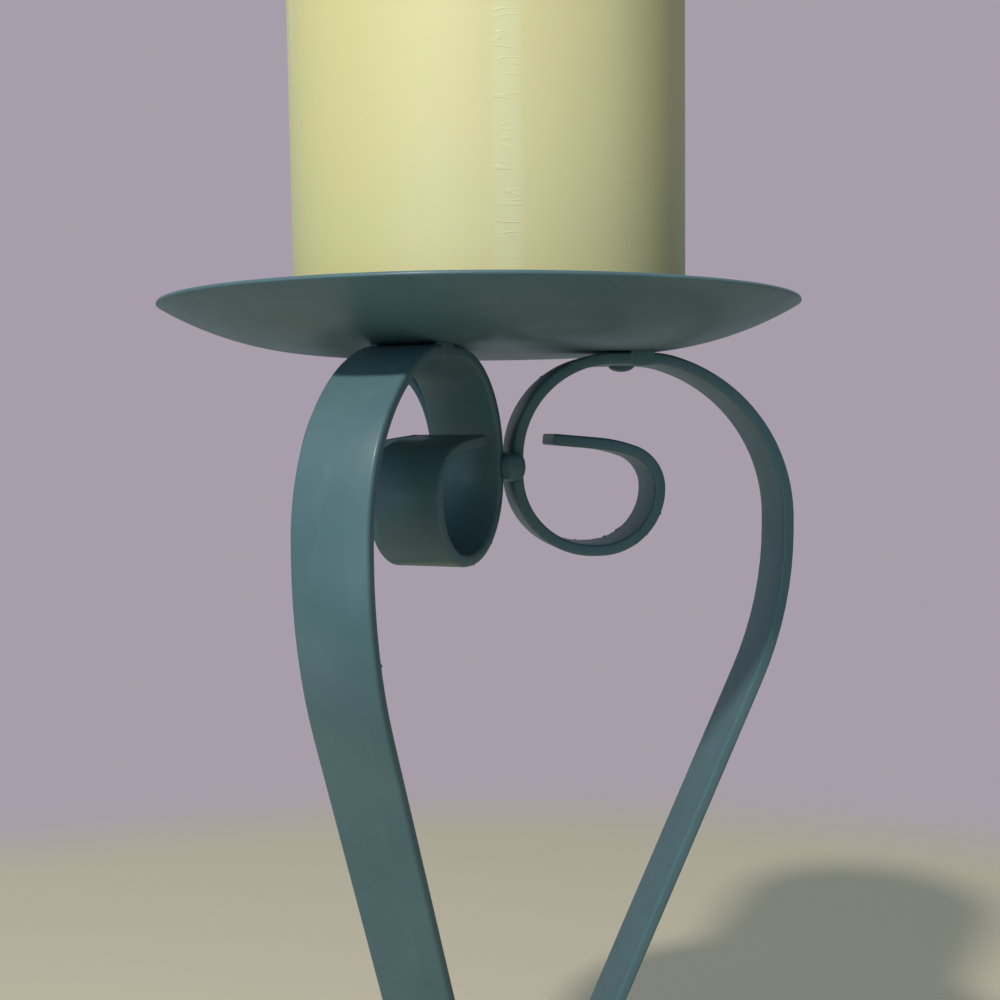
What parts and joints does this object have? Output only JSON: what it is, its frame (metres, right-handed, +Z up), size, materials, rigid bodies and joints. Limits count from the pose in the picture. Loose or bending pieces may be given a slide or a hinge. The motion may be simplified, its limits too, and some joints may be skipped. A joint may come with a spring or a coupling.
{
  "type": "candle stand",
  "caption": "Table-top candle stand: a shallow round dish on welded S-scroll legs of flat bar, holding a pillar candle that lifts off.",
  "frame": {"origin": "on the stand's upright axis, on the table surface under the feet", "axes": "+Z up; +X along the right-hand leg of the picture, whose scroll plane is the XZ plane; the picture was taken from -Y, turned about 5 degrees towards -X"},
  "size_m": [0.1226, 0.1226, 0.335],
  "materials": {
    "painted_steel": "satin duck-egg blue paint, slightly lumpy",
    "candle_wax": "smooth pale cream wax",
    "wick_cotton": "plaited cotton"
  },
  "bodies": {
    "stand": {"dish": "painted_steel", "leg_right": "painted_steel", "dish_weld_right_a": "painted_steel", "dish_weld_right_b": "painted_steel", "scroll_weld_right_rear": "painted_steel", "waist_weld_right_rear": "painted_steel", "leg_rear": "painted_steel", "dish_weld_rear_a": "painted_steel", "dish_weld_rear_b": "painted_steel", "scroll_weld_rear_front": "painted_steel", "waist_weld_rear_front": "painted_steel", "leg_front": "painted_steel", "dish_weld_front_a": "painted_steel", "dish_weld_front_b": "painted_steel", "scroll_weld_front_right": "painted_steel", "waist_weld_front_right": "painted_steel"},
    "candle": {"candle": "candle_wax", "wick": "wick_cotton"}
  },
  "joints": [
    {"name": "candle_lift", "type": "slide", "parent": "stand", "child": "candle", "axis": [0, 0, 1], "range_m": [0, 0.06]}
  ]
}
